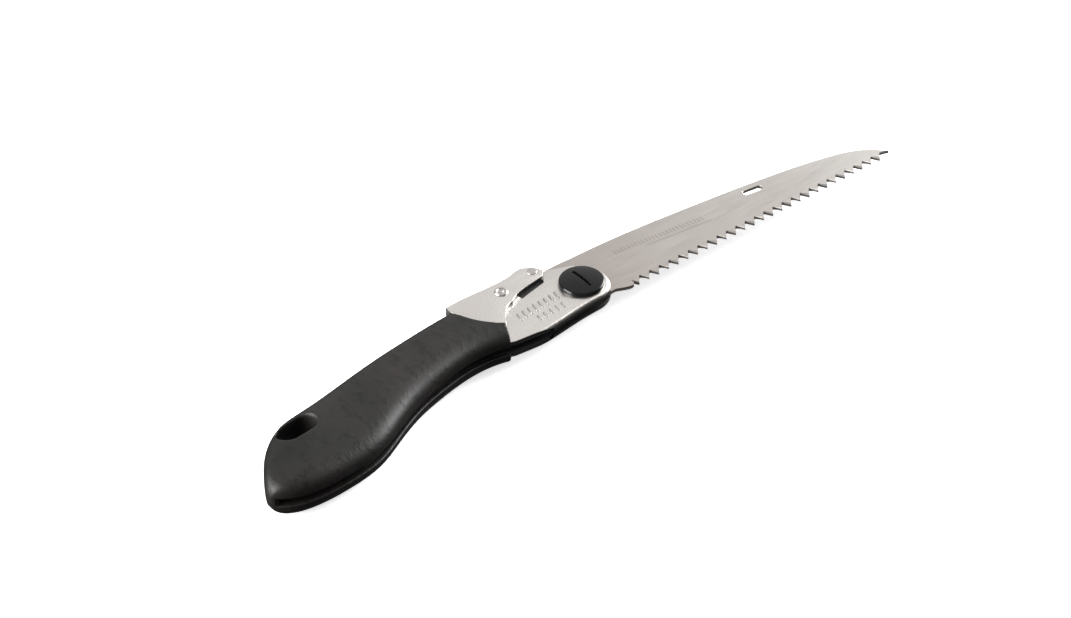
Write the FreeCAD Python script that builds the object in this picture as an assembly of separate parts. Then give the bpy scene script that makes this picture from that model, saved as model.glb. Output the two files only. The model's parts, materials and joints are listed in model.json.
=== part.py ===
import FreeCAD, Part
import os
from math import atan2, cos, degrees, pi, radians, sin

# Folding pruning saw, millimetres.  The saw lies flat on its right side with the blade open.
# The parts are drawn with the blade's pivot at (0, 0, 0): +X to the blade's tip, +Y to its back,
# +Z to the saw's left side, and z = 0 in the middle of the blade's thickness.  place_and_export
# then moves everything so that the origin is at the middle of the footprint.

# Overall size
TIP_X = 140.7
BUTT_X = -152.4
LEVER_TOP_Y = 19.5
BELLY_Y = -29.2
GRIP_HALF = 8.8

# Blade
BLADE_THICKNESS = 1.4
TOOTH_COUNT = 27
FIRST_TOOTH_X = 18.3
LAST_TOOTH_X = 134.8
FIRST_TOOTH_Y = -10.2
LAST_TOOTH_Y = -10.6
HEEL_PITCH_RATIO = 1.028
TOOTH_HEIGHT = 3.0
TOOTH_BACK_SHARE = 0.34
TOOTH_FACE_SHARE = 0.50
TANG_RADIUS = 16.6
FOLD_ANGLE = -170.5
BLADE_SLOT_CENTRE = (85.3, 4.9)
BLADE_SLOT_LENGTH = 8.2
BLADE_SLOT_WIDTH = 2.6
BLADE_SLOT_ANGLE = -7.7

# Steel frame: two pressed sides with black liners inside them
SHEET = 1.0
SIDE_INNER_Z = 2.4
SIDE_OUTER_Z = SIDE_INNER_Z + SHEET
LINER_INNER_Z = 1.5
FLANGE_GAP_Z = 1.1
FLANGE_END_X = -23.0
NOSE_RADIUS = 10.4
NOSE_TOP_ANGLE = 60.0
NOSE_LOW_ANGLE = -88.0
FRAME_REAR_X = -116.0
BACK_CORNERS_X = (-58.0, -82.0, FRAME_REAR_X)
PLATE_BRIDGE = (-34.0, 14.9)
PLATE_REAR_TOP = (-46.0, 12.6)
LIP_RADIUS = 1.9

# Pivot
BUSHING_RADIUS = 4.0
BOLT_RADIUS = 2.5
BOLT_HEAD_RADIUS = 8.3
BOLT_HEAD_HEIGHT = 2.3
BOLT_RIM_HEIGHT = 1.3
BOLT_SLOT_WIDTH = 1.2
BOLT_SLOT_LENGTH = 10.0
BOLT_SLOT_DEPTH = 1.1
BOLT_CORNER_RADIUS = 0.9
NUT_RADIUS = 7.2
NUT_HEIGHT = 2.3
NUT_FLOOR = 0.9
NUT_KEY_AT = 4.7
WASHER_RADIUS = 7.6
SPRING_WASHER_HEIGHT = 0.5
RUNNING_GAP = 0.05
SIDE_GAP = 0.1

# Lock lever
LEVER_PIVOT = (-26.3, 12.9)
BOSS_RADIUS = 3.5
LEVER_INNER_Z = SIDE_OUTER_Z + SIDE_GAP
LEVER_OUTER_Z = LEVER_INNER_Z + SHEET
LEVER_BRIDGE_END_X = -12.0
LEVER_REAR_CENTRE = (-26.6, 14.6)
LEVER_REAR_RADIUS = 20.6
GRIP_FRONT_CENTRE = (-24.6, 16.6)
GRIP_FRONT_RADIUS = 24.4
LEVER_EDGE_RADIUS = 0.9
RIVET_RADIUS = 2.0
RIVET_HEAD_RADIUS = 2.5
RIVET_HEAD_HEIGHT = 0.45
RIVET_DIMPLE_RADIUS = 1.1
SLEEVE_RADIUS = 2.7
LOCK_PIN_RADIUS = 1.5
LOCK_PIN_HEAD_RADIUS = 1.8
LOCK_PIN_HEAD_HEIGHT = 0.2
LOCK_PIN_ANGLE = 125.0
LOCK_PIN_GAP = 0.3
LOCK_PIN_ORBIT = TANG_RADIUS + LOCK_PIN_GAP + LOCK_PIN_RADIUS
NOTCH_RADIUS = LOCK_PIN_RADIUS + 0.3
SPRING_WIRE = 0.4
SPRING_COIL = 3.3
SPRING_TURNS = 2.5
SPRING_LEG = 11.0

# Grip
GRIP_WALL = 2.0
SPINE_COVER = 0.6
GRIP_SLOT_HALF = 1.5
SECTION_POWER = 3.4
SECTION_POINTS = 32
CHANNEL_CLEARANCE = 0.8
LANYARD_CENTRE = (-128.0, -3.3)
LANYARD_LENGTH = 15.6
LANYARD_WIDTH = 8.8
LANYARD_ANGLE = 4.0
FRAME_RIVET_RADIUS = 1.5
FRAME_RIVET_HEAD = 2.6
FRAME_RIVET_PROUD = 0.6
FRAME_RIVET_X = (-56.0, -82.0, -107.0)

# The grip's cross-sections along x: lowest y, highest y and half the thickness
GRIP_STATIONS = [
    (-30.0, -11.4, 16.4, 7.3),
    (-42.0, -10.6, 15.4, 7.6),
    (-55.0, -8.9, 14.3, 8.1),
    (-70.0, -11.0, 12.7, 8.5),
    (-84.0, -14.9, 11.0, 8.7),
    (-97.0, -20.8, 9.0, 8.78),
    (-109.0, -26.3, 6.9, 8.78),
    (-121.0, -28.6, 5.1, 8.78),
    (-131.0, -29.1, 3.2, 8.7),
    (-138.0, -28.7, -0.8, 8.4),
    (-144.0, -27.5, -6.3, 7.7),
    (-148.5, -25.4, -12.4, 6.6),
    (-151.3, -23.1, -17.1, 4.4),
    (BUTT_X, -21.4, -19.6, 1.6),
]


def vector(x, y, z=0.0):
    return FreeCAD.Vector(x, y, z)


def polar(centre, radius, angle):
    """Point at an angle in degrees round a centre."""
    return (centre[0] + radius * cos(radians(angle)), centre[1] + radius * sin(radians(angle)))


def spline(points, start_angle=None, end_angle=None):
    """Smooth curve through points; its end directions may be given in degrees, both or neither."""
    curve = Part.BSplineCurve()
    places = [vector(x, y) for x, y in points]
    if start_angle is None:
        curve.interpolate(places)
    else:
        directions = [vector(cos(radians(a)), sin(radians(a))) for a in (start_angle, end_angle)]
        curve.interpolate(Points=places, InitialTangent=directions[0], FinalTangent=directions[1])
    return curve.toShape()


def line(start, end):
    return Part.LineSegment(vector(*start), vector(*end)).toShape()


def arc(centre, radius, start_angle, end_angle):
    """Arc through its middle, so that it runs either way round."""
    points = [polar(centre, radius, start_angle + (end_angle - start_angle) * k) for k in (0.0, 0.5, 1.0)]
    return Part.Arc(*[vector(x, y) for x, y in points]).toShape()


def polyline(points):
    return [line(a, b) for a, b in zip(points, points[1:])]


def prism(edges, z_low, z_high):
    """Solid between two heights over a closed chain of edges."""
    wire = Part.Wire(Part.__sortEdges__(edges))
    face = Part.Face(wire)
    solid = face.extrude(vector(0, 0, z_high - z_low))
    solid.translate(vector(0, 0, z_low))
    return solid


def polygon_prism(points, z_low, z_high):
    return prism(polyline(points + points[:1]), z_low, z_high)


def disc(centre, radius, z_low, z_high):
    return Part.makeCylinder(radius, z_high - z_low, vector(centre[0], centre[1], z_low))


def ring(centre, outer, inner, z_low, z_high):
    return disc(centre, outer, z_low, z_high).cut(disc(centre, inner, z_low - 1, z_high + 1))


def stadium(centre, length, width, angle, z_low, z_high):
    """Oval prism with round ends, its long axis turned from +X."""
    radius = width / 2
    straight = length - width
    ends = [polar(centre, straight / 2, angle), polar(centre, -straight / 2, angle)]
    across = [polar(end, radius, angle + side) for end in ends for side in (-90, 90)]
    edges = [
        line(across[2], across[0]),
        arc(ends[0], radius, angle - 90, angle + 90),
        line(across[1], across[3]),
        arc(ends[1], radius, angle + 90, angle + 270),
    ]
    return prism(edges, z_low, z_high)


def turned(point, angle):
    """Point turned about the blade's pivot."""
    return polar((0, 0), (point[0] ** 2 + point[1] ** 2) ** 0.5, degrees(atan2(point[1], point[0])) + angle)


def mirror_z(shape):
    return shape.mirror(vector(0, 0, 0), vector(0, 0, 1))


def channel_line_y(x):
    """Roof of the channel that the folded teeth lie under."""
    heel = turned((FIRST_TOOTH_X, FIRST_TOOTH_Y), FOLD_ANGLE)
    toe = turned((LAST_TOOTH_X, LAST_TOOTH_Y), FOLD_ANGLE)
    slope = (toe[1] - heel[1]) / (toe[0] - heel[0])
    return heel[1] + slope * (x - heel[0]) + CHANNEL_CLEARANCE


LOCK_PIN = polar((0, 0), LOCK_PIN_ORBIT, LOCK_PIN_ANGLE)


# Blade

def tooth_tips():
    """Tip of each tooth; the pitch shrinks steadily from heel to toe."""
    gaps = TOOTH_COUNT - 1
    shares = [HEEL_PITCH_RATIO + (2 - 2 * HEEL_PITCH_RATIO) * k / (gaps - 1) for k in range(gaps)]
    tips = [(FIRST_TOOTH_X, FIRST_TOOTH_Y)]
    travelled = 0.0
    for share in shares:
        travelled += share / sum(shares)
        x = FIRST_TOOTH_X + travelled * (LAST_TOOTH_X - FIRST_TOOTH_X)
        y = FIRST_TOOTH_Y + travelled * (LAST_TOOTH_Y - FIRST_TOOTH_Y)
        tips.append((x, y))
    return tips


def tooth_edge():
    """Saw-toothed line: a steep face on the pull side of each tip and a longer back."""
    points = []
    tips = tooth_tips()
    for k, (x, y) in enumerate(tips):
        ahead = tips[k + 1][0] - x if k + 1 < len(tips) else x - tips[k - 1][0]
        points.append((x - TOOTH_BACK_SHARE * ahead, y + TOOTH_HEIGHT))
        points.append((x, y))
        points.append((x + TOOTH_FACE_SHARE * ahead, y + TOOTH_HEIGHT))
    return points


def blade_outline():
    teeth = tooth_edge()
    toe = (TIP_X, -8.9)
    back_start = polar((0, 0), TANG_RADIUS, 104)
    tang_end = polar((0, 0), TANG_RADIUS, 188)
    heel_start = (9.0, -7.7)
    back = spline([back_start, (27.0, 15.5), (62.3, 12.05), (101.5, 6.75), (120.0, 3.0), (131.5, -0.9), toe])
    tang = arc((0, 0), TANG_RADIUS, 104, 188)
    belly = spline([tang_end, (-9.0, -7.6), (0.0, -8.3), heel_start])
    heel = spline([heel_start, (13.5, -9.5), (16.0, -9.7), teeth[0]])
    end = line(teeth[-1], toe)
    return [back, tang, belly, heel, end] + polyline(teeth)


def make_blade():
    half = BLADE_THICKNESS / 2
    blade = prism(blade_outline(), -half, half)
    blade = blade.cut(disc((0, 0), BUSHING_RADIUS + RUNNING_GAP, -2, 2))
    notch = polar((0, 0), TANG_RADIUS - 0.3, LOCK_PIN_ANGLE)
    blade = blade.cut(disc(notch, NOTCH_RADIUS, -2, 2))
    slot = stadium(BLADE_SLOT_CENTRE, BLADE_SLOT_LENGTH, BLADE_SLOT_WIDTH, BLADE_SLOT_ANGLE, -2, 2)
    return blade.cut(slot)


# Steel frame

def grip_bounds(x):
    """Lowest and highest y of the grip at x, read between its stations."""
    for (x0, low0, high0, _), (x1, low1, high1, _) in zip(GRIP_STATIONS, GRIP_STATIONS[1:]):
        if x1 <= x <= x0:
            share = (x - x0) / (x1 - x0)
            return low0 + share * (low1 - low0), high0 + share * (high1 - high0)
    raise ValueError("x is off the grip")


def frame_back_y(x):
    """Back edge of the steel frame, under the rubber's spine."""
    return grip_bounds(x)[1] - GRIP_WALL - SPINE_COVER


def frame_outline(inset):
    """Outline of a side, with its front flange's inside line where inset is over 0."""
    radius = NOSE_RADIUS - inset
    nose_top = polar((0, 0), radius, NOSE_TOP_ANGLE)
    nose_low = polar((0, 0), radius, NOSE_LOW_ANGLE)
    flange_end_low = (FLANGE_END_X, -12.5 + inset)
    crescent_front = [nose_top, (-6.3, 13.6), (-8.4, 11.4), (-10.4, 8.5)]
    crescent = spline([(-10.4, 8.5), (-13.7, 7.9), (-18.0, 7.1), (-22.0, 6.2)])
    boss_start = polar(LEVER_PIVOT, BOSS_RADIUS, -30)
    boss_end = polar(LEVER_PIVOT, BOSS_RADIUS, 115)
    boss_side = [(-22.0, 6.2), boss_start]
    boss = arc(LEVER_PIVOT, BOSS_RADIUS, -30, 115)
    belly_x = [-46.0, -58.0, -70.0, -82.0, -94.0, -104.0, FRAME_REAR_X]
    belly = [(x, grip_bounds(x)[0] + GRIP_WALL) for x in belly_x]
    back = [(x, frame_back_y(x)) for x in BACK_CORNERS_X]
    edges = [arc((0, 0), radius, NOSE_LOW_ANGLE, NOSE_TOP_ANGLE)]
    edges += polyline(crescent_front)
    edges.append(crescent)
    edges += polyline(boss_side)
    edges.append(boss)
    edges += polyline([boss_end, PLATE_BRIDGE, PLATE_REAR_TOP] + back)
    edges.append(line(back[-1], belly[-1]))
    edges.append(spline(belly))
    junction = (-38.5, -10.6)
    corner = (-25.2, -12.1)
    edges += polyline([belly[0], junction, corner, flange_end_low])
    belly_front = [flange_end_low, (-16.0, -11.7 + inset), (-8.0, -10.8 + inset), nose_low]
    edges.append(spline(belly_front, 6.0, 90 + NOSE_LOW_ANGLE))
    return edges


def flange_zone():
    """Region in front of the flange's rear end, where the sides are turned in."""
    belly_side = polygon_prism([(FLANGE_END_X, -20), (20, -20), (20, 2), (FLANGE_END_X, -6)], 0, 5)
    nose = polygon_prism([(0, 1), (20, 1), (20, 20), (4, 20), (2, 5)], 0, 5)
    return belly_side.fuse(nose)


def make_side():
    """Left side: flat sheet with a turned-in flange along the nose and the belly."""
    side = prism(frame_outline(0.0), FLANGE_GAP_Z, SIDE_OUTER_Z)
    side = side.makeFillet(LIP_RADIUS, front_lip_edges(side))
    inside_flange = prism(frame_outline(SHEET), 0, SIDE_INNER_Z)
    no_flange = prism(frame_outline(-SHEET), 0, SIDE_INNER_Z).cut(flange_zone())
    side = side.cut(inside_flange).cut(no_flange)
    side = side.cut(disc((0, 0), BUSHING_RADIUS, 0, 5))
    side = side.cut(disc(LEVER_PIVOT, RIVET_RADIUS, 0, 5))
    for rivet in frame_rivet_points():
        side = side.cut(disc(rivet, FRAME_RIVET_RADIUS, 0, 5))
    return side


def front_lip_edges(side):
    """Edges of the bend between the flat face and the flange."""
    lip = []
    for edge in side.Edges:
        box = edge.BoundBox
        on_face = abs(box.ZMin - SIDE_OUTER_Z) < 0.01 and abs(box.ZMax - SIDE_OUTER_Z) < 0.01
        on_nose = box.XMin > -2.0 and box.XMax < NOSE_RADIUS + 0.1 and box.YMin < 0 < box.YMax
        on_belly = box.XMin > FLANGE_END_X - 0.1 and box.YMax < -8.5
        if on_face and (on_nose or on_belly):
            lip.append(edge)
    return lip


def frame_rivet_points():
    """Rivets half-way between the channel's roof and the frame's back edge."""
    points = []
    for x in FRAME_RIVET_X:
        roof = channel_line_y(x)
        points.append((x, (roof + frame_back_y(x)) / 2))
    return points


def make_liner():
    """Left liner: black sheet between the side and the blade's channel."""
    front = prism(frame_outline(SHEET + SIDE_GAP), LINER_INNER_Z, SIDE_INNER_Z)
    window = polygon_prism([(-8.6, 9.0), (-22.5, 5.0), (-23.0, 12.0), (-17.0, 12.6), (-9.6, 12.6)],
                           LINER_INNER_Z, SIDE_INNER_Z)
    liner = front.fuse(window).removeSplitter()
    liner = liner.cut(disc((0, 0), BUSHING_RADIUS, 0, 5))
    liner = liner.cut(disc(LEVER_PIVOT, RIVET_RADIUS, 0, 5))
    for rivet in frame_rivet_points():
        liner = liner.cut(disc(rivet, FRAME_RIVET_RADIUS, 0, 5))
    return liner


def make_spine_spacer():
    """Bar between the liners along the back; the folded heel comes to rest under its front end."""
    front_x = -16.6
    points = [(front_x, 9.4), (-17.4, 11.6), (-26.8, 14.9), PLATE_BRIDGE, PLATE_REAR_TOP]
    points += [(x, frame_back_y(x)) for x in BACK_CORNERS_X]
    points.append((FRAME_REAR_X, channel_line_y(FRAME_REAR_X)))
    points.append((-22.0, channel_line_y(-22.0)))
    points.append((-17.3, 8.4))
    spacer = polygon_prism(points, -LINER_INNER_Z, LINER_INNER_Z)
    pivot_x, pivot_y = LEVER_PIVOT
    coil_room = disc(LEVER_PIVOT, SPRING_COIL + SPRING_WIRE + 0.3, -2, 2)
    leg_low = pivot_y - SPRING_COIL - SPRING_WIRE
    leg_room = Part.makeBox(SPRING_LEG + 0.5, 10, 4, vector(pivot_x - SPRING_LEG - 0.5, leg_low, -2))
    spacer = spacer.cut(coil_room).cut(leg_room)
    for rivet in frame_rivet_points():
        spacer = spacer.cut(disc(rivet, FRAME_RIVET_RADIUS, -2, 2))
    return spacer


def make_frame_rivet(point):
    """Rivet through both sides, with a low head on each."""
    shank = disc(point, FRAME_RIVET_RADIUS, -SIDE_OUTER_Z, SIDE_OUTER_Z)
    head = disc(point, FRAME_RIVET_HEAD, SIDE_OUTER_Z, SIDE_OUTER_Z + FRAME_RIVET_PROUD)
    return shank.fuse(head).fuse(mirror_z(head)).removeSplitter()


# Pivot

def make_pivot_bushing():
    bushing = disc((0, 0), BUSHING_RADIUS, -SIDE_OUTER_Z, SIDE_OUTER_Z)
    return bushing.cut(disc((0, 0), BOLT_RADIUS, -5, 5))


def make_thrust_washer():
    """Left washer between the liner and the blade."""
    low = BLADE_THICKNESS / 2 + RUNNING_GAP
    return ring((0, 0), WASHER_RADIUS, BUSHING_RADIUS, low, LINER_INNER_Z)


def make_pivot_bolt():
    """Domed head with a coin slot, and a shank down to the nut."""
    base = SIDE_OUTER_Z
    rim = base + BOLT_RIM_HEIGHT
    head = disc((0, 0), BOLT_HEAD_RADIUS, base, base + BOLT_HEAD_HEIGHT)
    rise = BOLT_HEAD_HEIGHT - (rim - base)
    dome_radius = (BOLT_HEAD_RADIUS ** 2 + rise ** 2) / (2 * rise)
    dome = Part.makeSphere(dome_radius, vector(0, 0, base + BOLT_HEAD_HEIGHT - dome_radius))
    head = head.common(dome)
    shoulder = [e for e in head.Edges if abs(e.BoundBox.ZMin - rim) < 0.05 and e.BoundBox.XMax > 8]
    head = head.makeFillet(BOLT_CORNER_RADIUS, shoulder)
    slot_floor = base + BOLT_HEAD_HEIGHT - BOLT_SLOT_DEPTH
    slot = Part.makeBox(BOLT_SLOT_WIDTH, BOLT_SLOT_LENGTH, 5,
                        vector(-BOLT_SLOT_WIDTH / 2, -BOLT_SLOT_LENGTH / 2, slot_floor))
    head = head.cut(slot)
    shank_end = -SIDE_OUTER_Z - SPRING_WASHER_HEIGHT - NUT_HEIGHT + NUT_FLOOR
    shank = disc((0, 0), BOLT_RADIUS, shank_end, base)
    return head.fuse(shank).removeSplitter()


def make_spring_washer():
    low = -SIDE_OUTER_Z - SPRING_WASHER_HEIGHT
    return ring((0, 0), 6.4, BOLT_RADIUS, low, -SIDE_OUTER_Z)


def make_pivot_nut():
    """Closed round nut with a softened edge and two key slots."""
    top = -SIDE_OUTER_Z - SPRING_WASHER_HEIGHT
    nut = disc((0, 0), NUT_RADIUS, top - NUT_HEIGHT, top)
    low_edges = [e for e in nut.Edges if e.BoundBox.ZMax < top - NUT_HEIGHT + 0.01]
    nut = nut.makeFillet(BOLT_CORNER_RADIUS, low_edges)
    nut = nut.cut(disc((0, 0), BOLT_RADIUS, top - NUT_HEIGHT + NUT_FLOOR, top + 1))
    for side in (-1, 1):
        corner = vector(-0.8, side * NUT_KEY_AT - 1.2, top - NUT_HEIGHT)
        nut = nut.cut(Part.makeBox(1.6, 2.4, NUT_FLOOR, corner))
    return nut


# Lock lever

def lever_outline():
    """Cheek: humped back, rounded nose, hollow front edge and a round rear lobe."""
    rear_top_angle = 169.0
    rear_low_angle = 240.0
    rear_top = polar(LEVER_REAR_CENTRE, LEVER_REAR_RADIUS, rear_top_angle)
    rear_low = polar(LEVER_REAR_CENTRE, LEVER_REAR_RADIUS, rear_low_angle)
    nose_top = (-6.8, 13.6)
    nose_low = (-9.1, 10.8)
    hollow_end = (-26.0, 6.6)
    back = spline([rear_top, (-35.0, 18.65), (-24.0, 18.15), (-17.4, 18.75), (-13.3, LEVER_TOP_Y - 0.05),
                   (-9.9, 18.1), nose_top])
    edges = [back, line(nose_top, nose_low)]
    edges.append(spline([nose_low, (-13.6, 10.2), (-18.1, 9.6), (-22.5, 8.5), hollow_end]))
    edges.append(spline([hollow_end, (-30.3, 4.8), (-33.0, 2.0), rear_low]))
    edges.append(arc(LEVER_REAR_CENTRE, LEVER_REAR_RADIUS, rear_low_angle, rear_top_angle))
    return edges


def make_lock_lever():
    """Two cheeks joined by a bridge along the back."""
    lever = prism(lever_outline(), -LEVER_OUTER_Z, LEVER_OUTER_Z)
    back_edges = []
    for edge in lever.Edges:
        box = edge.BoundBox
        if box.ZLength < 0.01 and box.YMin > 13.4 and box.XLength > 20:
            back_edges.append(edge)
    lever = lever.makeFillet(LEVER_EDGE_RADIUS, back_edges)
    hollow = prism(lever_outline(), -LEVER_INNER_Z, LEVER_INNER_Z)
    hollow.translate(vector(0, -SHEET, 0))
    below = hollow.copy()
    below.translate(vector(0, -3, 0))
    front = Part.makeBox(20, 20, 2 * LEVER_INNER_Z, vector(LEVER_BRIDGE_END_X, 5, -LEVER_INNER_Z))
    rear = Part.makeBox(25, 22, 2 * LEVER_INNER_Z, vector(-52, -6, -LEVER_INNER_Z))
    lever = lever.cut(hollow.fuse([below, front, rear]))
    lever = lever.cut(disc(LEVER_PIVOT, RIVET_RADIUS + RUNNING_GAP, -6, 6))
    return lever.cut(disc(LOCK_PIN, LOCK_PIN_RADIUS, -6, 6))


def make_lever_rivet():
    """Hinge rivet of the lever, with a dimpled head each side."""
    head_base = LEVER_OUTER_Z + RUNNING_GAP
    rivet = disc(LEVER_PIVOT, RIVET_RADIUS, -head_base, head_base)
    head = disc(LEVER_PIVOT, RIVET_HEAD_RADIUS, head_base, head_base + RIVET_HEAD_HEIGHT)
    top_edges = [e for e in head.Edges if e.BoundBox.ZMin > head_base + 0.1]
    rim = [e for e in top_edges if e.BoundBox.XLength > RIVET_HEAD_RADIUS]
    head = head.makeFillet(0.3, rim)
    head = head.cut(disc(LEVER_PIVOT, RIVET_DIMPLE_RADIUS, head_base + 0.2, head_base + 2))
    return rivet.fuse(head).fuse(mirror_z(head)).removeSplitter()


def make_lever_sleeve():
    return ring(LEVER_PIVOT, SLEEVE_RADIUS, RIVET_RADIUS, -LINER_INNER_Z, LINER_INNER_Z)


def make_lock_pin():
    """Cross pin riveted into both cheeks."""
    pin = disc(LOCK_PIN, LOCK_PIN_RADIUS, -LEVER_OUTER_Z, LEVER_OUTER_Z)
    head = disc(LOCK_PIN, LOCK_PIN_HEAD_RADIUS, LEVER_OUTER_Z, LEVER_OUTER_Z + LOCK_PIN_HEAD_HEIGHT)
    return pin.fuse(head).fuse(mirror_z(head)).removeSplitter()


def make_lever_spring():
    """Torsion spring round the sleeve: the upper leg pushes the lever's bridge, the lower one the spacer."""
    pitch = 2 * SPRING_WIRE + 0.05
    height = pitch * SPRING_TURNS
    helix = Part.makeHelix(pitch, height, SPRING_COIL)
    profile = Part.Wire(Part.makeCircle(SPRING_WIRE, vector(SPRING_COIL, 0, 0), vector(0, 1, 0)))
    coil = Part.Wire(helix).makePipeShell([profile], True, True)
    coil.rotate(vector(0, 0, 0), vector(0, 0, 1), -90)
    coil.translate(vector(LEVER_PIVOT[0], LEVER_PIVOT[1], -height / 2))
    x, y = LEVER_PIVOT
    for side in (-1, 1):
        start = vector(x, y + side * SPRING_COIL, side * height / 2)
        coil = coil.fuse(Part.makeCylinder(SPRING_WIRE, SPRING_LEG, start, vector(-1, 0, 0)))
    return coil.removeSplitter()


# Grip

def grip_section(x, low, high, half):
    """Closed rounded section across the grip."""
    centre = (low + high) / 2
    reach = (high - low) / 2
    points = []
    for k in range(SECTION_POINTS):
        angle = 2 * pi * k / SECTION_POINTS
        across = abs(cos(angle)) ** (2 / SECTION_POWER)
        up = abs(sin(angle)) ** (2 / SECTION_POWER)
        y = centre + reach * (across if cos(angle) > 0 else -across)
        z = half * (up if sin(angle) > 0 else -up)
        points.append(vector(x, y, z))
    curve = Part.BSplineCurve()
    curve.interpolate(Points=points, PeriodicFlag=True)
    return Part.Wire(curve.toShape())


def channel_zone():
    """Room for the folded blade: under the channel's roof, and open along the belly and the butt."""
    points = [
        (-20.0, channel_line_y(-20.0)),
        (-142.5, channel_line_y(-142.5)),
        (-144.5, -16.5),
        (-150.6, -22.6),
        (-165.0, -30.0),
        (-165.0, -45.0),
        (-20.0, -45.0),
    ]
    return polygon_prism(points, -GRIP_SLOT_HALF, GRIP_SLOT_HALF)


def front_zone():
    """Everything in front of the grip's front edge: round the lever's rear, then down the side."""
    centre = GRIP_FRONT_CENTRE
    radius = GRIP_FRONT_RADIUS
    corner = polar(centre, radius, 237)
    top = polar(centre, radius, 176)
    edges = [arc(centre, radius, 176, 237)]
    edges += polyline([corner, (-41.2, -11.8), (-43.0, -18.0), (0.0, -18.0), (0.0, 30.0), (-49.0, 30.0), top])
    return prism(edges, -12, 12)


def make_rubber_grip(inner_parts):
    sections = [grip_section(*station) for station in GRIP_STATIONS]
    grip = Part.makeLoft(sections, True, False)
    grip = grip.cut(front_zone())
    grip = grip.cut(channel_zone())
    grip = grip.cut(stadium(LANYARD_CENTRE, LANYARD_LENGTH, LANYARD_WIDTH, LANYARD_ANGLE, -12, 12))
    for part in inner_parts:
        grip = grip.cut(part)
    return grip


def build_parts():
    side = make_side()
    liner = make_liner()
    washer = make_thrust_washer()
    parts = {
        "blade": make_blade(),
        "side_plate_left": side,
        "side_plate_right": mirror_z(side),
        "channel_liner_left": liner,
        "channel_liner_right": mirror_z(liner),
        "spine_spacer": make_spine_spacer(),
        "pivot_bushing": make_pivot_bushing(),
        "thrust_washer_left": washer,
        "thrust_washer_right": mirror_z(washer),
        "pivot_bolt": make_pivot_bolt(),
        "spring_washer": make_spring_washer(),
        "pivot_nut": make_pivot_nut(),
        "lock_lever": make_lock_lever(),
        "lock_pin": make_lock_pin(),
        "lever_rivet": make_lever_rivet(),
        "lever_sleeve": make_lever_sleeve(),
        "lever_spring": make_lever_spring(),
    }
    for name, point in zip(("front", "middle", "rear"), frame_rivet_points()):
        parts["frame_rivet_" + name] = make_frame_rivet(point)
    inside = ["side_plate_left", "side_plate_right", "channel_liner_left", "channel_liner_right",
              "spine_spacer", "frame_rivet_front", "frame_rivet_middle", "frame_rivet_rear"]
    parts["rubber_grip"] = make_rubber_grip([parts[name] for name in inside])
    return parts


def place_and_export(parts):
    """Move the origin to the middle of the footprint, at the surface the saw lies on."""
    offset = vector(-(TIP_X + BUTT_X) / 2, -(LEVER_TOP_Y + BELLY_Y) / 2, GRIP_HALF)
    os.makedirs("parts", exist_ok=True)
    for name, shape in parts.items():
        shape.translate(offset)
        shape.exportStep("parts/" + name + ".step")


place_and_export(build_parts())
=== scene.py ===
import json
from math import cos, pi, radians, sin

import bmesh
import bpy
from mathutils import Matrix, Vector


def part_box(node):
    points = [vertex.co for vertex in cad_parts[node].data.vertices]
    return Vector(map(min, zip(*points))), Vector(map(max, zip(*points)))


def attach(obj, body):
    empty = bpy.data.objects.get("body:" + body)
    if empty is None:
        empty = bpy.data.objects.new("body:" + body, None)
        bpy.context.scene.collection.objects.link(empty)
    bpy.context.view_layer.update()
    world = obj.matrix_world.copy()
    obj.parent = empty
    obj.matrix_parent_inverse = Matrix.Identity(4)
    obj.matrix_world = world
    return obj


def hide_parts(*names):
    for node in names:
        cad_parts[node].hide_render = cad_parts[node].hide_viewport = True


# Looks of the folding pruning saw: ground blade, pressed steel sides and lever, moulded grip.
# Names ending in _MM are millimetres, and places are counted from the blade's pivot. Meshes are in metres.

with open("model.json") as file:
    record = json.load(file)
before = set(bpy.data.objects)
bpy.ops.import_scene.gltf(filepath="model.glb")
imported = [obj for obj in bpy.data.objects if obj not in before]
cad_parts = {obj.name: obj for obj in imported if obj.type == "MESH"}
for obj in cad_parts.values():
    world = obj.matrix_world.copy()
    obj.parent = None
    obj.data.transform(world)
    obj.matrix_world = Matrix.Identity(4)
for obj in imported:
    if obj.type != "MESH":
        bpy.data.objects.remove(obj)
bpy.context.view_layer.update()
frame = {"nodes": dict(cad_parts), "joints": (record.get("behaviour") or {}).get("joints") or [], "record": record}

MM = 0.001
MERGE_M = 1e-6
JOINTS = {joint["name"]: joint for joint in frame["joints"]}
PIVOT = Vector(JOINTS["blade_fold"]["pos_m"])
LEVER_PIVOT = Vector(JOINTS["lever_press"]["pos_m"])
SIDE_FACE_MM = (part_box("side_plate_left")[1].z - PIVOT.z) / MM
LEVER_FACE_MM = (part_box("lock_lever")[1].z - PIVOT.z) / MM

# Edges sharper than these angles are shaded hard
HARD_DEGREES = {"cad": 30, "broken": 32, "blade": 12, "turned": 50}

# Broken edges: which ones are rounded, in how many steps, and how wide
BREAK_FROM_DEGREES = 38
BREAK_STEPS = 3
PLATE_BREAK_MM = 0.16
LEVER_BREAK_MM = 0.18
BOLT_BREAK_MM = 0.14
PIN_BREAK_MM = 0.1

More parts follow.
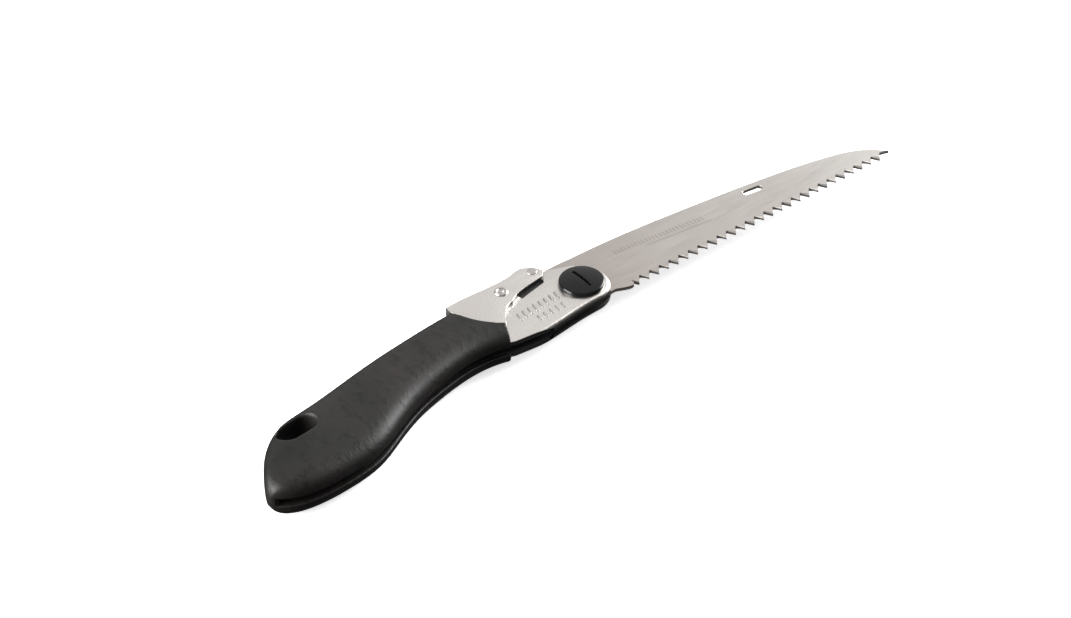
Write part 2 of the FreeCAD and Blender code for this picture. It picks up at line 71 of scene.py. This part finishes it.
# Blade
TOOTH_COUNT = 27
FIRST_TOOTH_MM = (18.3, -10.2)
LAST_TOOTH_MM = (134.8, -10.6)
HEEL_PITCH_RATIO = 1.028  # first pitch over the mean pitch
TOOTH_HEIGHT_MM = 3.0
TOOTH_MIDDLE_MM = 0.35  # from a tooth's tip to its middle
ROW_BEFORE_MM = 0.3  # how far the toothed edge reaches past its first and last tip
ROW_AFTER_MM = 2.4
GULLET_FLOOR_MM = 0.2  # this much at a gullet's bottom stays sharp
GROUND_FACET_MM = 0.95
GROUND_DEPTH_MM = 0.42
PLAIN_FACET_MM = 0.2
BACK_BEVEL_MM = 0.4
BACK_START_MM = 8.0
BACK_SLOPE = -0.06  # a line that keeps the back above it and the teeth below
BLADE_SLOT_MM = (85.3, 4.9)
BLADE_SLOT_REACH_MM = 4.25
SLOT_BEVEL_MM = 0.12

# Etched marks on the blade: a row of ticks over a rule, both parallel to the back
BACK_FALL = 0.125  # how much lower the row lies for each millimetre along the blade
TICK_ROW_MM = (21.5, 60.0)
TICK_HEIGHT_MM = (10.1, 12.4)
TICK_WAVE = 4.2  # radians for each millimetre
TICK_WOBBLE_MM = 0.9
RULE_ROW_MM = (34.0, 62.0)
RULE_HEIGHT_MM = (8.5, 8.9)

# Lever rivet's head: radius, and height over its highest point
RIVET_HEAD_MM = ((0, -0.10), (0.5, -0.10), (0.78, -0.20), (1.0, -0.36), (1.3, -0.36), (1.5, -0.14),
                 (1.72, -0.02), (2.0, 0.0), (2.28, -0.08), (2.46, -0.28), (2.5, -0.5), (2.0, -0.52))

# Grip
SKIN_VOXEL_MM = 0.32
SKIN_SOFTENING = 0.5
SKIN_PASSES = 5
LANYARD_MM = (-128.0, -3.3)
LANYARD_LENGTH_MM = 15.6
LANYARD_WIDTH_MM = 8.8
LANYARD_ANGLE = 4.0  # degrees
RIM_ROUND_MM = 1.5
RIM_FROM_MM = 2.0  # the hole's wall is left alone nearer the middle plane
RIM_FADE_MM = 4.0

# Pressed ribs on the sides: start and end of each row, how many, and how long
RIB_ROWS_MM = (
    ((-29.3, -1.3), (-11.3, 0.2), 8, 3.9),
    ((-24.0, -5.9), (-13.0, -5.5), 5, 2.9),
)
RIB_HEIGHT_MM = 0.36
RIB_WIDTH_MM = 1.05
RIB_LEAN = -8.0  # degrees
RIB_SQUARENESS = 6

# Painted shade on the steel sides and the lever, by height over their outer faces: a painted dark reflection on
# the belly lip, painted shade in recesses, round each rib's foot and along the lever's cut edges
LIP_MM = (-0.40, -0.10)
DEEP_MM = (-1.1, -0.6)
RIB_FOOT_MM = (0.04, 0.30)
BEHIND_NOSE_MM = (4.0, 9.0)
CUT_EDGE_MM = (-0.22, -0.10)
LEVER_BACK_MM = (15.0, 16.0)
SHADE = 0.93
SHADE_COLOUR = (0.03, 0.028, 0.026)
SHADE_ROUGHER = 0.15

# Studio: direction, distance and width in metres, and watts of each softbox
SOFTBOXES = {
    "right": ((0.93, -0.03, 0.37), 1.1, 0.75, 32.0),
    "left": ((-0.90, 0.32, 0.38), 1.1, 0.75, 34.0),
}
# The sky's brightness, and over which cosines or heights it changes from one to the next
SKY = 0.22
FRONT = 0.45
FRONT_DIRECTION = (-0.49, -0.60, 0.63)
FRONT_EDGE = (0.60, 0.95)
BACKDROP = 0.84
BACKDROP_DIRECTION = (0.49, 0.60, 0.63)
BACKDROP_EDGE = (0.50, 0.86)
BELOW = 0.10
HORIZON_EDGE = (-0.06, 0.10)
FLOOR_HALF_M = 6.0
FLOOR_GLOW = 0.62

# Camera: the photograph's direction, 39 degrees above the saw. Angles are radians, lengths metres.
CAMERA_TURN = 0.6834
CAMERA_TILT = 0.6807
CAMERA_DISTANCE = 1.40297
CAMERA_AIM_RIGHT = -0.016384
CAMERA_AIM_UP = -0.006723
LENS_MM = 132.78
SENSOR_MM = 36.0
CLIP = (0.05, 30.0)


# Mesh helpers

def link(obj):
    bpy.context.scene.collection.objects.link(obj)
    return obj


def new_object(name, bm):
    mesh = bpy.data.meshes.new(name)
    bm.to_mesh(mesh)
    bm.free()
    return link(bpy.data.objects.new(name, mesh))


def apply_modifiers(obj):
    """Replaces the object's mesh with what its modifiers make of it."""
    graph = bpy.context.evaluated_depsgraph_get()
    mesh = bpy.data.meshes.new_from_object(obj.evaluated_get(graph))
    obj.modifiers.clear()
    obj.data = mesh


def smooth_by_angle(obj, degrees_limit):
    """Smooth shading, with edges sharper than the limit left hard."""
    mesh = obj.data
    bm = bmesh.new()
    bm.from_mesh(mesh)
    for face in bm.faces:
        face.smooth = True
    for edge in bm.edges:
        edge.smooth = edge.calc_face_angle(pi) < radians(degrees_limit)
    bm.to_mesh(mesh)
    bm.free()


def merged(mesh):
    """The mesh with vertices at the same place made one."""
    bm = bmesh.new()
    bm.from_mesh(mesh)
    bmesh.ops.remove_doubles(bm, verts=bm.verts, dist=MERGE_M)
    return bm


def dissolve_flat(bm, degrees_limit):
    bmesh.ops.dissolve_limit(bm, angle_limit=radians(degrees_limit), verts=bm.verts, edges=bm.edges)


def copy_of(node):
    """The CAD node's shape as a new mesh, with each flat face made one polygon."""
    bm = merged(frame["nodes"][node].data)
    dissolve_flat(bm, 0.6)
    return new_object(node + "_finished", bm)


def finished(node, slot_name, edge_mm, body):
    """A copy of a CAD node with its edges broken, as a tumbled or deburred part has them."""
    obj = copy_of(node)
    bevel = obj.modifiers.new("edge_break", "BEVEL")
    bevel.width = edge_mm * MM
    bevel.segments = BREAK_STEPS
    bevel.limit_method = "ANGLE"
    bevel.angle_limit = radians(BREAK_FROM_DEGREES)
    bevel.use_clamp_overlap = True
    apply_modifiers(obj)
    smooth_by_angle(obj, HARD_DEGREES["broken"])
    take_over(obj, slot_name, body, node)


def take_over(obj, slot_name, body, *nodes):
    """The piece stands for the CAD nodes, rides on their body and has their finish."""
    obj.data.materials.clear()
    obj.data.materials.append(MATERIALS[slot_name])
    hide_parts(*nodes)
    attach(obj, body)


# Materials

def is_output(value):
    return isinstance(value, bpy.types.NodeSocket)


def connect(tree, sockets, values):
    """Sets each socket to its value, or links it where the value is another node's output."""
    for key, value in values.items():
        if is_output(value):
            tree.links.new(value, sockets[key])
        else:
            sockets[key].default_value = value


def rgba(colour):
    return colour if is_output(colour) else (*colour, 1.0)


class Nodes:
    """Short way to write a material's node tree."""

    SURFACE = {"colour": "Base Color", "metallic": "Metallic", "roughness": "Roughness", "normal": "Normal",
               "specular": "Specular IOR Level", "glow_colour": "Emission Color", "glow": "Emission Strength"}
    MIX_FACTOR, MIX_FIRST, MIX_SECOND, MIX_RESULT = 0, 6, 7, 2

    def __init__(self, name):
        self.material = bpy.data.materials.new(name)
        self.material.use_nodes = True
        self.tree = self.material.node_tree
        self.shader = self.tree.nodes["Principled BSDF"]
        self.coordinates = self.tree.nodes.new("ShaderNodeTexCoord").outputs["Object"]

    def node(self, kind, inputs=None, **settings):
        made = self.tree.nodes.new("ShaderNode" + kind)
        for key, value in settings.items():
            setattr(made, key, value)
        connect(self.tree, made.inputs, inputs or {})
        return made

    def noise(self, scale, detail=3.0, stretch=(1, 1, 1)):
        place = self.node("Mapping", {"Vector": self.coordinates, "Scale": stretch}).outputs["Vector"]
        inputs = {"Vector": place, "Scale": scale, "Detail": detail, "Roughness": 0.5}
        return self.node("TexNoise", inputs).outputs["Fac"]

    def ramp(self, value, low, high, value_low, value_high, clamp=True):
        inputs = {"Value": value, "From Min": low, "From Max": high, "To Min": value_low, "To Max": value_high}
        return self.node("MapRange", inputs, clamp=clamp).outputs["Result"]

    def place_mm(self, axis):
        """Millimetres from the blade's pivot along one axis."""
        split = self.node("SeparateXYZ", {"Vector": self.coordinates})
        zero = PIVOT["XYZ".index(axis)]
        return self.ramp(split.outputs[axis], zero, zero + MM, 0.0, 1.0, clamp=False)

    def band(self, value, low, high, edge=0.15):
        """1 between low and high, with a short slope at each end."""
        rising = self.ramp(value, low - edge, low, 0.0, 1.0)
        falling = self.ramp(value, high, high + edge, 1.0, 0.0)
        return self.times(rising, falling)

    def mix(self, factor, first, second):
        """From the first colour to the second as the factor goes from 0 to 1."""
        mixed = self.node("Mix", data_type="RGBA")
        values = {self.MIX_FACTOR: factor, self.MIX_FIRST: rgba(first), self.MIX_SECOND: rgba(second)}
        connect(self.tree, mixed.inputs, values)
        return mixed.outputs[self.MIX_RESULT]

    def math(self, operation, first, second=0.0):
        return self.node("Math", {0: first, 1: second}, operation=operation).outputs["Value"]

    def plus(self, first, second):
        return self.math("ADD", first, second)

    def times(self, first, second):
        return self.math("MULTIPLY", first, second)

    def larger(self, first, second):
        return self.math("MAXIMUM", first, second)

    def bump(self, height, strength, distance_mm, under=None):
        inputs = {"Height": height, "Strength": strength, "Distance": distance_mm * MM}
        if under is not None:
            inputs["Normal"] = under
        return self.node("Bump", inputs).outputs["Normal"]

    def set(self, **values):
        inputs = {self.SURFACE[key]: rgba(value) if "colour" in key else value for key, value in values.items()}
        connect(self.tree, self.shader.inputs, inputs)
        return self.material


def steel(name, light, dark, roughness, grain_mm, brushed_along_x=False, shaded=None):
    """Satin steel: a fine grain, brushed along the part if asked, soft cloudy tarnish, and painted shade where a
    shaded mask is given.
    """
    n = Nodes(name)
    stretch = (0.06, 1.0, 1.0) if brushed_along_x else (1, 1, 1)
    grain = n.noise(1000 / grain_mm, 2.0, stretch)
    cloud = n.noise(45.0)
    colour = n.mix(n.ramp(cloud, 0.35, 0.72, 0.0, 1.0), light, dark)
    broad = n.ramp(cloud, 0.3, 0.7, roughness - 0.03, roughness + 0.05)
    rough = n.plus(broad, n.ramp(grain, 0.3, 0.7, -0.05, 0.05))
    # Painted shade: the colour is darker and rougher where the shaded mask is high
    if shaded is not None:
        shade = n.times(shaded(n), SHADE)
        colour = n.mix(shade, colour, SHADE_COLOUR)
        rough = n.plus(rough, n.times(shade, SHADE_ROUGHER))
    return n.set(colour=colour, metallic=1.0, roughness=rough, normal=n.bump(grain, 0.18, 0.02))


def height_over(n, face_mm):
    """Height in mm over a part's two outer faces, below zero inside them."""
    return n.math("SUBTRACT", n.math("ABSOLUTE", n.place_mm("Z")), face_mm)


def painted_side_shade(n):
    """Mask of painted shade on the sides: a painted dark reflection on the turned-in lip along the belly below the
    face, and painted shade on deeper surfaces and at the foot of each rib.
    """
    above = height_over(n, SIDE_FACE_MM)
    lip = n.ramp(above, *LIP_MM, 1.0, 0.0)
    deep = n.ramp(above, *DEEP_MM, 1.0, 0.0)
    behind_nose = n.ramp(n.place_mm("X"), *BEHIND_NOSE_MM, 1.0, 0.0)
    foot = n.times(n.band(above, *RIB_FOOT_MM, 0.03), 0.85)
    return n.larger(n.larger(deep, n.times(lip, behind_nose)), foot)


def painted_edge_shade(n):
    """Mask of painted shade on the sheared edges of the lever's cheeks; its back is left as bright as its cheeks.
    """
    below = n.ramp(height_over(n, LEVER_FACE_MM), *CUT_EDGE_MM, 1.0, 0.0)
    return n.times(below, n.ramp(n.place_mm("Y"), *LEVER_BACK_MM, 1.0, 0.0))


def blade_steel():
    """Saw steel, warmer by the heel and brighter by the toe, brushed along and lightly etched."""
    n = Nodes("blade_steel")
    x_mm, y_mm = n.place_mm("X"), n.place_mm("Y")
    colour = n.mix(n.ramp(x_mm, 10.0, 130.0, 0.0, 1.0), (0.455, 0.415, 0.385), (0.60, 0.585, 0.555))
    cloud = n.noise(38.0, 4.0, (0.45, 1, 1))
    colour = n.mix(n.ramp(cloud, 0.4, 0.75, 0.0, 0.5), colour, (0.43, 0.39, 0.36))
    colour = n.mix(n.times(etched_marks(n, x_mm, y_mm), 0.55), colour, (0.31, 0.27, 0.25))
    brushing = n.noise(2600.0, 2.0, (0.035, 1.0, 1.0))
    scratches = n.noise(5200.0, 1.0, (0.012, 1.0, 1.0))
    rough = n.plus(n.ramp(brushing, 0.3, 0.7, 0.31, 0.43), n.ramp(scratches, 0.62, 0.75, 0.0, -0.08))
    return n.set(colour=colour, metallic=1.0, roughness=rough, normal=n.bump(brushing, 0.12, 0.02))


def etched_marks(n, x_mm, y_mm):
    """Mask of a row of plain ticks over a thin rule, along the upper half of the blade."""
    height = n.plus(y_mm, n.times(x_mm, BACK_FALL))
    wobble = n.times(n.noise(700.0, 2.0), TICK_WOBBLE_MM)
    wave = n.math("SINE", n.times(n.plus(x_mm, wobble), TICK_WAVE))
    ticks = n.times(n.ramp(wave, 0.0, 0.5, 0.0, 1.0), n.band(height, *TICK_HEIGHT_MM))
    ticks = n.times(ticks, n.band(x_mm, *TICK_ROW_MM))
    rule = n.times(n.band(height, *RULE_HEIGHT_MM), n.band(x_mm, *RULE_ROW_MM))
    return n.larger(ticks, rule)


def grip_rubber():
    """Black moulded rubber: a fine pebbled grain, matt specks, and handling polish in broad patches."""
    n = Nodes("grip_rubber")
    pebbles = n.node("TexVoronoi", {"Vector": n.coordinates, "Scale": 1250.0}, feature="SMOOTH_F1")
    fine = n.noise(2600.0)
    wear = n.noise(34.0)
    speckle = n.ramp(n.noise(430.0, 5.0, (1.0, 0.55, 1.0)), 0.50, 0.66, 0.0, 1.0)
    colour = n.mix(n.ramp(wear, 0.35, 0.7, 0.0, 1.0), (0.0052, 0.0060, 0.0046), (0.0120, 0.0098, 0.0090))
    colour = n.mix(n.times(speckle, 0.7), colour, (0.002, 0.002, 0.002))
    rough = n.plus(n.ramp(wear, 0.3, 0.7, 0.43, 0.53), n.ramp(fine, 0.3, 0.7, -0.04, 0.04))
    normal = n.bump(pebbles.outputs["Distance"], 0.35, 0.05)
    normal = n.bump(fine, 0.25, 0.03, normal)
    normal = n.bump(speckle, 0.45, 0.09, normal)
    return n.set(colour=colour, roughness=rough, normal=normal, specular=0.27)


def black_bolt():
    """Glossy black coating with faint orange peel and dust."""
    n = Nodes("black_bolt")
    peel = n.noise(900.0, 2.0)
    dust = n.noise(2600.0)
    colour = n.mix(n.ramp(dust, 0.62, 0.78, 0.0, 0.35), (0.004, 0.004, 0.0045), (0.02, 0.02, 0.02))
    rough = n.ramp(dust, 0.4, 0.75, 0.13, 0.24)
    return n.set(colour=colour, roughness=rough, normal=n.bump(peel, 0.06, 0.03), specular=0.27)


def plain_plastic(name, light, dark, roughness):
    """Even plastic with a slight cloud and a fine grain."""
    n = Nodes(name)
    cloud = n.noise(160.0)
    fine = n.noise(2400.0, 2.0)
    colour = n.mix(n.ramp(cloud, 0.35, 0.7, 0.0, 1.0), light, dark)
    rough = n.ramp(fine, 0.3, 0.7, roughness - 0.05, roughness + 0.05)
    return n.set(colour=colour, roughness=rough, normal=n.bump(fine, 0.12, 0.02))


MATERIALS = {
    "blade_steel": blade_steel(),
    # The steel sides carry painted shade and a painted dark reflection on their lip, recesses and rib feet
    "frame_steel": steel("frame_steel", (0.73, 0.70, 0.665), (0.65, 0.615, 0.58), 0.28, 0.35, shaded=painted_side_shade),
    # The lever carries painted shade along its cut edges
    "lever_steel": steel("lever_steel", (0.74, 0.71, 0.675), (0.665, 0.63, 0.595), 0.28, 0.35,
                         shaded=painted_edge_shade),
    "pin_steel": steel("pin_steel", (0.60, 0.57, 0.54), (0.48, 0.455, 0.43), 0.30, 0.25),
    "spring_steel": steel("spring_steel", (0.42, 0.41, 0.40), (0.33, 0.32, 0.31), 0.34, 0.25,
                          brushed_along_x=True),
    "black_bolt": black_bolt(),
    "bushing_brass": steel("bushing_brass", (0.72, 0.55, 0.28), (0.60, 0.43, 0.20), 0.28, 0.25),
    "washer_nylon": plain_plastic("washer_nylon", (0.75, 0.74, 0.70), (0.66, 0.65, 0.60), 0.50),
    "liner_nylon": plain_plastic("liner_nylon", (0.015, 0.015, 0.016), (0.022, 0.022, 0.022), 0.48),
    "grip_rubber": grip_rubber(),
}


# Blade

def flat_loops(node):
    """Closed loops of points round the highest flat face of a sheet part, the longest first."""
    bm = merged(frame["nodes"][node].data)
    top = max(v.co.z for v in bm.verts)
    flat = {f for f in bm.faces if f.normal.z > 0.99 and abs(f.calc_center_median().z - top) < MERGE_M}
    onward = {}
    for edge in bm.edges:
        inside = [loop for loop in edge.link_loops if loop.face in flat]
        if len(inside) == 1:
            onward[inside[0].vert] = inside[0].link_loop_next.vert
    loops = []
    while onward:
        vert = next(iter(onward))
        chain = []
        while vert in onward:
            chain.append(Vector((vert.co.x, vert.co.y)))
            vert = onward.pop(vert)
        loops.append(chain)
    bm.free()
    return sorted(loops, key=loop_length, reverse=True)


def loop_length(points):
    return sum((a - b).length for a, b in zip(points, points[1:] + points[:1]))


def tooth_tips():
    """Tip of each tooth; the pitch shrinks steadily from heel to toe."""
    gaps = TOOTH_COUNT - 1
    shares = [HEEL_PITCH_RATIO + (2 - 2 * HEEL_PITCH_RATIO) * k / (gaps - 1) for k in range(gaps)]
    travelled = [sum(shares[:k]) / sum(shares) for k in range(TOOTH_COUNT)]
    first, last = Vector(FIRST_TOOTH_MM), Vector(LAST_TOOTH_MM)
    return [first + (last - first) * t for t in travelled]


def sheet_solid(name, loops, half, middle):
    """Sheet with holes, from closed loops of points."""
    curve = bpy.data.curves.new(name, "CURVE")
    curve.dimensions = "2D"
    curve.fill_mode = "BOTH"
    curve.extrude = half
    for points in loops:
        ring = curve.splines.new("POLY")
        ring.points.add(len(points) - 1)
        ring.use_cyclic_u = True
        for place, point in zip(ring.points, points):
            place.co = (point.x, point.y, 0.0, 1.0)
    obj = link(bpy.data.objects.new(name, curve))
    graph = bpy.context.evaluated_depsgraph_get()
    graph.update()
    bm = merged(bpy.data.meshes.new_from_object(obj.evaluated_get(graph)))
    bpy.data.objects.remove(obj)
    bmesh.ops.translate(bm, verts=bm.verts, vec=(0, 0, middle))
    bmesh.ops.recalc_face_normals(bm, faces=bm.faces)
    dissolve_flat(bm, 0.05)
    return bm


def rim_edges(bm, side, chosen):
    """Edges between the flat face on one side and the sheet's edge, where chosen(x, y in mm) holds."""
    found = []
    for edge in bm.edges:
        if len(edge.link_faces) != 2:
            continue
        wall, face = sorted(face.normal.z * side for face in edge.link_faces)
        middle = ((edge.verts[0].co + edge.verts[1].co) / 2 - PIVOT) / MM
        if abs(wall) < 0.02 and face > 0.98 and chosen(middle.x, middle.y):
            found.append(edge)
    return found


def grind(bm, side, chosen, width_mm, depth_mm):
    """Slope along the chosen rim, width_mm in from the edge and depth_mm down from the flat face."""
    edges = rim_edges(bm, side, chosen)
    flat = max(vert.co.z * side for edge in edges for vert in edge.verts)
    cut = bmesh.ops.bevel(bm, geom=edges, offset=width_mm * MM, offset_type="OFFSET", segments=1, profile=0.5,
                          affect="EDGES", clamp_overlap=False)
    for vert in cut["verts"]:
        on_wall = abs(vert.co.z * side - flat) > 0.5 * width_mm * MM
        if on_wall:
            vert.co.z = side * (flat - depth_mm * MM)


def build_blade():
    """Saw blade with its back eased and its teeth ground on alternate sides."""
    low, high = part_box("blade")
    bm = sheet_solid("blade_plate", flat_loops("blade"), (high.z - low.z) / 2, (high.z + low.z) / 2)
    tips = tooth_tips()
    row_start = FIRST_TOOTH_MM[0] - ROW_BEFORE_MM
    row_end = LAST_TOOTH_MM[0] + ROW_AFTER_MM

    def tooth_at(x, y):
        nearest = min(range(TOOTH_COUNT), key=lambda k: abs(tips[k].x + TOOTH_MIDDLE_MM - x))
        floor = tips[nearest].y + TOOTH_HEIGHT_MM - GULLET_FLOOR_MM
        return nearest if row_start < x < row_end and y < floor else None

    def on_teeth(x, y):
        return tooth_at(x, y) is not None

    def on_flank(x, y, turn):
        tooth = tooth_at(x, y)
        return tooth is not None and tooth % 2 == turn and x < tips[tooth].x

    def in_slot(x, y):
        return (Vector((x, y)) - Vector(BLADE_SLOT_MM)).length < BLADE_SLOT_REACH_MM

    def on_back(x, y):
        return x > BACK_START_MM and y > BACK_SLOPE * x and not in_slot(x, y)

    for side, turn in ((1, 0), (-1, 1)):
        grind(bm, side, on_back, BACK_BEVEL_MM, BACK_BEVEL_MM)
        grind(bm, side, in_slot, SLOT_BEVEL_MM, SLOT_BEVEL_MM)
        grind(bm, side, lambda x, y: on_flank(x, y, turn), GROUND_FACET_MM, GROUND_DEPTH_MM)
        grind(bm, side, on_teeth, PLAIN_FACET_MM, PLAIN_FACET_MM)
    blade = new_object("ground_blade", bm)
    smooth_by_angle(blade, HARD_DEGREES["blade"])
    take_over(blade, "blade_steel", "blade", "blade")


# Lever rivet

def lathe(name, centre, profile, segments=72):
    """Solid of revolution about Z; profile is (radius, height) in mm, from axis to axis."""
    bm = bmesh.new()
    rings = []
    for radius, height in profile:
        steps = 1 if radius == 0 else segments
        angles = [2 * pi * k / steps for k in range(steps)]
        around = [Vector((radius * cos(angle), radius * sin(angle), height)) for angle in angles]
        rings.append([bm.verts.new(centre + offset * MM) for offset in around])
    for upper, lower in zip(rings, rings[1:]):
        for k in range(segments):
            quad = [upper[k % len(upper)], lower[k % len(lower)], lower[(k + 1) % len(lower)],
                    upper[(k + 1) % len(upper)]]
            bm.faces.new(list(dict.fromkeys(quad)))
    bmesh.ops.recalc_face_normals(bm, faces=bm.faces)
    obj = new_object(name, bm)
    smooth_by_angle(obj, HARD_DEGREES["turned"])
    return obj


def build_lever_rivet():
    """Rivet with a rolled rim and a small raised centre in its dimple."""
    low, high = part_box("lever_rivet")
    top = (high.z - low.z) / 2 / MM
    upper = [(radius, top + drop) for radius, drop in RIVET_HEAD_MM]
    profile = upper + [(radius, -height) for radius, height in reversed(upper)]
    centre = Vector((LEVER_PIVOT.x, LEVER_PIVOT.y, (low.z + high.z) / 2))
    rivet = lathe("rolled_rivet", centre, profile)
    take_over(rivet, "pin_steel", "frame", "lever_rivet")


# Grip

def round_lanyard_rim(obj):
    """Rolls the grip's two faces over into the lanyard hole."""
    turn = radians(LANYARD_ANGLE)
    along = Vector((cos(turn), sin(turn)))
    reach = (LANYARD_LENGTH_MM - LANYARD_WIDTH_MM) / 2
    middle = Vector(LANYARD_MM)
    for vert in obj.data.vertices:
        place = (vert.co - PIVOT) / MM
        offset = place.xy - middle
        on_axis = max(-reach, min(reach, offset.dot(along)))
        gap = (offset - along * on_axis).length - LANYARD_WIDTH_MM / 2
        if gap < RIM_ROUND_MM and abs(place.z) > RIM_FROM_MM:
            inward = 1 - max(gap, 0.0) / RIM_ROUND_MM
            drop = RIM_ROUND_MM * (1 - (1 - inward ** 2) ** 0.5)
            depth = min(1.0, (abs(place.z) - RIM_FROM_MM) / RIM_FADE_MM)
            vert.co.z -= (1 if place.z > 0 else -1) * drop * depth * MM


def build_grip():
    """The moulded grip with every edge rounded, as rubber leaves the mould."""
    obj = copy_of("rubber_grip")
    remesh = obj.modifiers.new("skin", "REMESH")
    remesh.mode = "VOXEL"
    remesh.voxel_size = SKIN_VOXEL_MM * MM
    soften = obj.modifiers.new("soften", "SMOOTH")
    soften.factor = SKIN_SOFTENING
    soften.iterations = SKIN_PASSES
    apply_modifiers(obj)
    round_lanyard_rim(obj)
    for polygon in obj.data.polygons:
        polygon.use_smooth = True
    obj.name = "moulded_grip"
    take_over(obj, "grip_rubber", "frame", "rubber_grip")


# Pressed ribs

def build_ribs(side, face_z_mm):
    """Two rows of short plain ribs, half sunk in one steel side."""
    bm = bmesh.new()
    for start, end, count, length in RIB_ROWS_MM:
        for k in range(count):
            x, y = Vector(start).lerp(Vector(end), k / (count - 1))
            made = bmesh.ops.create_uvsphere(bm, u_segments=20, v_segments=12, radius=1.0)
            square_ends(made["verts"])
            size = Matrix.Diagonal((RIB_WIDTH_MM / 2 * MM, length / 2 * MM, RIB_HEIGHT_MM * MM, 1.0))
            lean = Matrix.Rotation(radians(RIB_LEAN), 4, "Z")
            place = Matrix.Translation(PIVOT + Vector((x, y, side * face_z_mm)) * MM)
            bmesh.ops.transform(bm, verts=made["verts"], matrix=place @ lean @ size)
    for face in bm.faces:
        face.smooth = True
    ribs = new_object("pressed_ribs_left" if side > 0 else "pressed_ribs_right", bm)
    # The frame steel paints shade round each rib's foot, so only its crest stays bright
    ribs.data.materials.append(MATERIALS["frame_steel"])
    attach(ribs, "frame")


def square_ends(verts):
    """Fills a ball out along Y, so that a rib keeps its width up to its rounded ends."""
    for vert in verts:
        x, y, z = vert.co
        fuller = (1 - min(1.0, abs(y)) ** RIB_SQUARENESS) ** 0.5
        plain = max((x * x + z * z) ** 0.5, 1e-6)
        vert.co.x = x / plain * fuller
        vert.co.z = z / plain * fuller


# CAD nodes that are carried over

def finish_cad_nodes():
    for subpart in frame["record"]["subparts"]:
        obj = frame["nodes"][subpart["node"]]
        obj.data.materials.clear()
        obj.data.materials.append(MATERIALS[subpart["material_slot"]])
        smooth_by_angle(obj, HARD_DEGREES["cad"])


# Studio

def build_floor():
    """Pale floor, out of sight of the saw, so that nothing glares back from under it."""
    n = Nodes("studio_floor")
    colour = n.mix(n.noise(3.0, 2.0), (0.94, 0.94, 0.94), (0.97, 0.97, 0.97))
    material = n.set(colour=colour, roughness=0.9, specular=0.0, glow_colour=(1.0, 1.0, 1.0), glow=FLOOR_GLOW)
    bm = bmesh.new()
    bmesh.ops.create_grid(bm, x_segments=8, y_segments=8, size=FLOOR_HALF_M)
    floor = new_object("studio_floor", bm)
    floor.data.materials.append(material)
    floor.visible_diffuse = False
    floor.visible_glossy = False


def build_softbox(name, direction, distance, size, power):
    """Square light that faces the pivot."""
    light = bpy.data.lights.new(name, "AREA")
    light.shape = "SQUARE"
    light.size = size
    light.energy = power
    obj = link(bpy.data.objects.new(name, light))
    ray = Vector(direction).normalized()
    obj.location = PIVOT + ray * distance
    obj.rotation_euler = (-ray).to_track_quat("-Z", "Y").to_euler()


def facing(tree, direction, towards):
    """How far the direction looked in agrees with another one, as a cosine."""
    dot = tree.nodes.new("ShaderNodeVectorMath")
    dot.operation = "DOT_PRODUCT"
    connect(tree, dot.inputs, {0: direction, 1: towards})
    return dot.outputs["Value"]


def soft_step(tree, value, edge, before, after):
    """From one brightness to another while the value crosses the edge."""
    step = tree.nodes.new("ShaderNodeMapRange")
    step.interpolation_type = "SMOOTHSTEP"
    low, high = edge
    ends = {"Value": value, "From Min": low, "From Max": high, "To Min": before, "To Max": after}
    connect(tree, step.inputs, ends)
    return step.outputs["Result"]


def build_world():
    """A grey sky, brighter towards the camera and brightest behind the saw, over a dark lower half."""
    world = bpy.data.worlds.new("studio")
    bpy.context.scene.world = world
    world.use_nodes = True
    tree = world.node_tree
    direction = tree.nodes.new("ShaderNodeTexCoord").outputs["Generated"]
    split = tree.nodes.new("ShaderNodeSeparateXYZ")
    connect(tree, split.inputs, {"Vector": direction})
    front = soft_step(tree, facing(tree, direction, FRONT_DIRECTION), FRONT_EDGE, SKY, FRONT)
    bright = soft_step(tree, facing(tree, direction, BACKDROP_DIRECTION), BACKDROP_EDGE, front, BACKDROP)
    level = soft_step(tree, split.outputs["Z"], HORIZON_EDGE, BELOW, bright)
    connect(tree, tree.nodes["Background"].inputs, {"Strength": level, "Color": (1.0, 1.0, 1.0, 1.0)})


def build_camera():
    turn, tilt = CAMERA_TURN, CAMERA_TILT
    right = Vector((cos(turn), -sin(turn), 0.0))
    ahead = Vector((sin(turn) * cos(tilt), cos(turn) * cos(tilt), -sin(tilt)))
    up = Vector((sin(turn) * sin(tilt), cos(turn) * sin(tilt), cos(tilt)))
    data = bpy.data.cameras.new("camera")
    data.sensor_width = SENSOR_MM
    data.lens = LENS_MM
    data.clip_start, data.clip_end = CLIP
    camera = link(bpy.data.objects.new("camera", data))
    camera.matrix_world = Matrix((right, up, -ahead)).transposed().to_4x4()
    camera.location = PIVOT + CAMERA_AIM_RIGHT * right + CAMERA_AIM_UP * up - CAMERA_DISTANCE * ahead
    bpy.context.scene.camera = camera


build_blade()
build_grip()
finished("side_plate_left", "frame_steel", PLATE_BREAK_MM, "frame")
finished("side_plate_right", "frame_steel", PLATE_BREAK_MM, "frame")
finished("lock_lever", "lever_steel", LEVER_BREAK_MM, "lever")
finished("pivot_bolt", "black_bolt", BOLT_BREAK_MM, "frame")
finished("pivot_nut", "black_bolt", BOLT_BREAK_MM, "frame")
build_lever_rivet()
finished("lock_pin", "pin_steel", PIN_BREAK_MM, "lever")
build_ribs(1, SIDE_FACE_MM)
build_ribs(-1, SIDE_FACE_MM)
finish_cad_nodes()

build_floor()
build_world()
for name, (direction, distance, size, power) in SOFTBOXES.items():
    build_softbox(name, direction, distance, size, power)
build_camera()
bpy.context.scene.view_settings.view_transform = "Standard"
